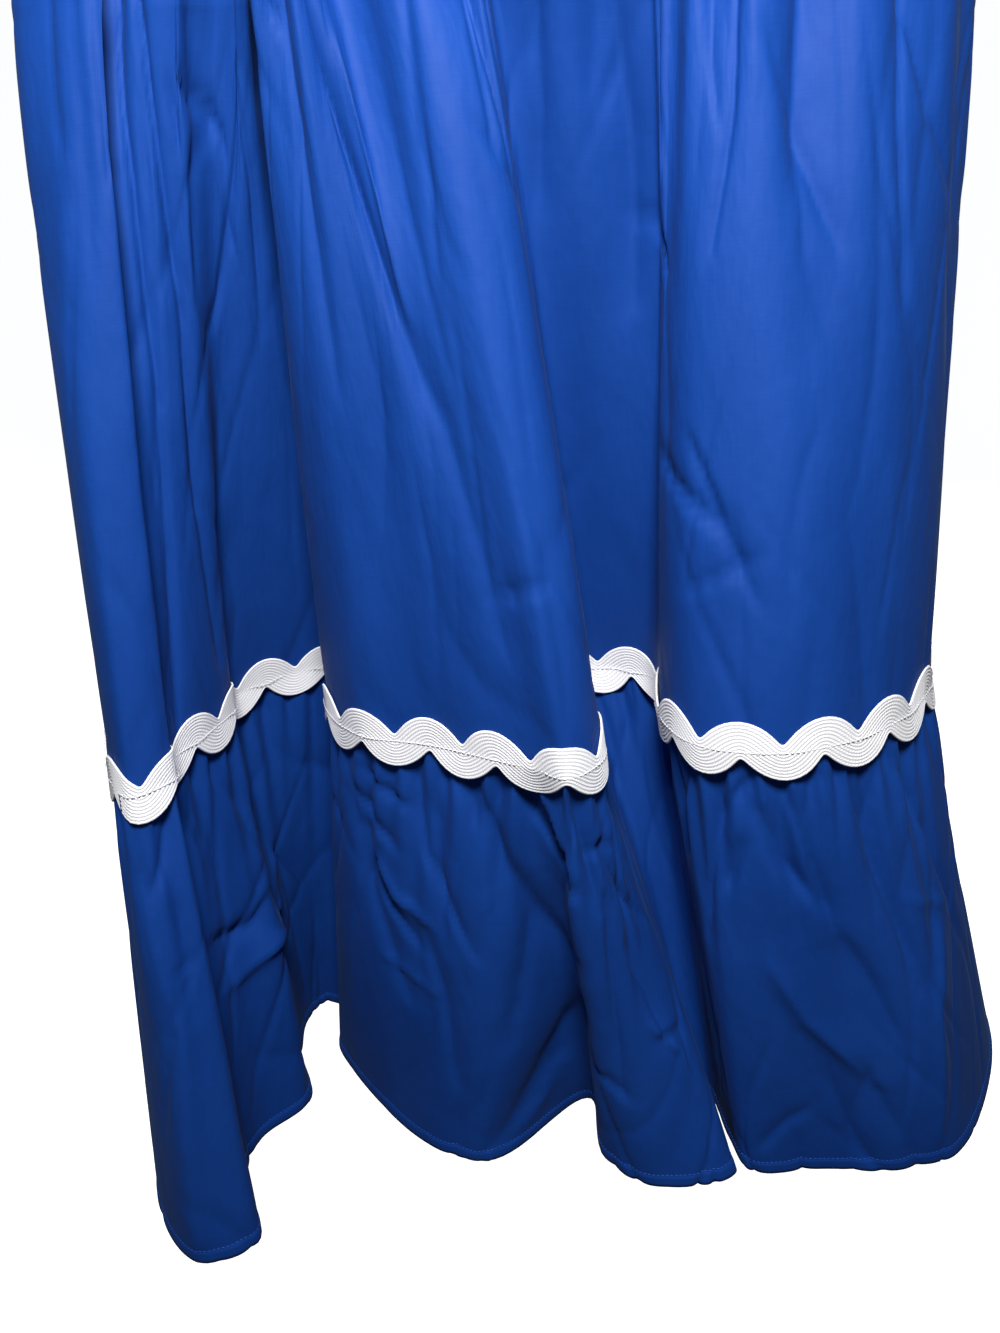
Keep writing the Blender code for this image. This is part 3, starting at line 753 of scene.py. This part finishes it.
EDGE_STITCH_ROW = 7
for side in ("front", "back"):
    facing = -1 if side == "front" else 1
    rows, columns = 56, 128
    points, cloth = np.zeros((rows + 1, columns + 1, 3)), np.zeros((rows + 1, columns + 1, 2))
    for row in range(rows + 1):
        up = 1 - (row / rows) ** 2
        for column in range(columns + 1):
            across = 2 * column / columns - 1
            foot_x = WAIST_HALF_WIDTH * math.sin(across * math.pi / 2)
            top_x, top_z = bodice_top(abs(across), side)
            x = foot_x + (math.copysign(top_x, across) - foot_x) * up
            z = WAIST_Z + (top_z - WAIST_Z) * up
            y = facing * bodice_depth(x, z, side)
            ease = 0.0016 * math.sin(x * 61 + z * 17) * math.sin(math.pi * up) * (1 - across**2)
            points[row, column] = (-facing * x, y - facing * abs(ease), z)
            cloth[row, column] = (3 + across * 0.26, z)
    panel = cloth_piece(f"bodice_{side}_cloth", points, cloth, CLOTH_THICK, cotton)
    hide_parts(f"bodice_{side}")
    edge = points[EDGE_STITCH_ROW]
    share = np.abs(np.linspace(-1, 1, columns + 1))
    out = np.stack([edge[:, 0] * 0.3, np.full(len(edge), float(facing)), np.zeros(len(edge))], axis=1)
    out /= np.linalg.norm(out, axis=1)[:, None]
    for name, kept in (
        ("neck", share <= 0.31),
        ("armhole_1", (share >= 0.62) & (np.arange(columns + 1) < columns / 2)),
        ("armhole_2", (share >= 0.62) & (np.arange(columns + 1) > columns / 2)),
    ):
        label = f"{name}_stitches_{side}"
        row = stitched(label, edge[kept], out[kept], THREAD_LIFT, STITCH, STITCH_PITCH, blue_thread)

# The stage: a pale floor that sweeps up all round the dress, a light above the camera, weak wide ones
# overhead and behind, and the camera where the picture was taken from, a little above the dress.
stage_paint = bpy.data.materials.new("pale_stage")
stage_paint.use_nodes = True
stage_shader = stage_paint.node_tree.nodes["Principled BSDF"]
stage_shader.inputs["Base Color"].default_value = (0.86, 0.86, 0.87, 1)
stage_shader.inputs["Roughness"].default_value = 0.9
stage_shader.inputs["Emission Color"].default_value = (1.0, 1.0, 1.0, 1)
stage_shader.inputs["Emission Strength"].default_value = 0.9
FLOOR_Z, FLOOR_RADIUS, SWEEP_RADIUS, SWEEP_HEIGHT = -1.55, 3.2, 2.2, 5.0
bm = bmesh.new()
profile = [bm.verts.new((FLOOR_RADIUS * 0.001, 0, FLOOR_Z))]
for step in range(13):
    turn = math.pi / 2 * step / 12
    reach = FLOOR_RADIUS + SWEEP_RADIUS * math.sin(turn)
    profile.append(bm.verts.new((reach, 0, FLOOR_Z + SWEEP_HEIGHT * (1 - math.cos(turn)))))
edges = [bm.edges.new(pair) for pair in zip(profile, profile[1:])]
bmesh.ops.spin(
    bm, geom=profile + edges, cent=(0, 0, 0), axis=(0, 0, 1), angle=2 * math.pi, steps=64, use_merge=True
)
bmesh.ops.remove_doubles(bm, verts=bm.verts, dist=0.02)
bmesh.ops.recalc_face_normals(bm, faces=bm.faces)
mesh = bpy.data.meshes.new("floor")
bm.to_mesh(mesh)
bm.free()
for polygon in mesh.polygons:
    polygon.use_smooth = True
mesh.materials.append(stage_paint)
floor = bpy.data.objects.new("floor", mesh)
bpy.context.scene.collection.objects.link(floor)
floor.visible_diffuse = False
floor.visible_glossy = False

world = bpy.data.worlds.new("soft_room")
world.use_nodes = True
world.node_tree.nodes["Background"].inputs["Color"].default_value = (0.80, 0.90, 1.0, 1)
world.node_tree.nodes["Background"].inputs["Strength"].default_value = 0.07
bpy.context.scene.world = world
bpy.context.scene.view_settings.view_transform = "Standard"

LIGHTS = (
    # name, watts, size, place, aimed at
    ("above_camera", 16.0, 0.20, (0.0, -0.64, -0.04), (0.0, -0.08, -0.66)),
    ("overhead", 2.5, 2.4, (-0.5, -0.9, 1.4), (0.0, 0.0, -0.6)),
    ("behind", 42, 2.0, (0.5, 2.1, 0.4), (0.0, 0.1, -0.6)),
)
for name, watts, size, place, aim in LIGHTS:
    lamp = bpy.data.lights.new(name, "AREA")
    lamp.energy = watts
    lamp.size = size
    light = bpy.data.objects.new(name, lamp)
    light.location = place
    light.rotation_euler = (Vector(aim) - Vector(place)).to_track_quat("-Z", "Y").to_euler()
    bpy.context.scene.collection.objects.link(light)

PITCH, ROLL = math.radians(25), math.radians(5)
CAMERA_PLACE = (-0.02, -0.62, -0.525)
ahead = Vector((0, math.cos(PITCH), -math.sin(PITCH)))
level, fall = Vector((1, 0, 0)), Vector((0, -math.sin(PITCH), -math.cos(PITCH)))
right = level * math.cos(ROLL) + fall * math.sin(ROLL)
up = level * math.sin(ROLL) - fall * math.cos(ROLL)
lens = bpy.data.cameras.new("camera")
lens.lens = 27.0
lens.sensor_width = 36
lens.clip_start = 0.01
camera = bpy.data.objects.new("camera", lens)
camera.matrix_world = Matrix((right, up, -ahead)).transposed().to_4x4()
camera.location = CAMERA_PLACE
bpy.context.scene.collection.objects.link(camera)
bpy.context.scene.camera = camera
